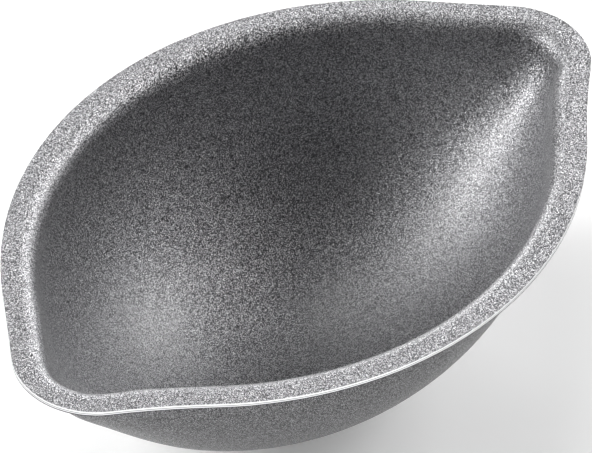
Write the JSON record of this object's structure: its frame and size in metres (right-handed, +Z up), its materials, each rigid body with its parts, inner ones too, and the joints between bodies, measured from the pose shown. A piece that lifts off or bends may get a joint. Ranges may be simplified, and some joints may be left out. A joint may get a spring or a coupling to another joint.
{
  "type": "lemon cake mold",
  "caption": "Pressed sheet-steel baking mold in the shape of half a lemon, with a flat flange and a non-stick coat on both faces.",
  "frame": {"origin": "under the middle of the flange's outline, at the lowest point of the bowl", "axes": "+X along the mold from nipple to nipple, +Z up out of the bowl's mouth"},
  "size_m": [0.105, 0.0702, 0.0323],
  "materials": {
    "steel": "sheared edge, bright",
    "interior_coat": "grey flake non-stick coat, satin",
    "exterior_coat": "dark grey flake non-stick coat, satin"
  },
  "bodies": {
    "root": {"steel_shell": "steel", "interior_coating": "interior_coat", "exterior_coating": "exterior_coat"}
  },
  "joints": []
}
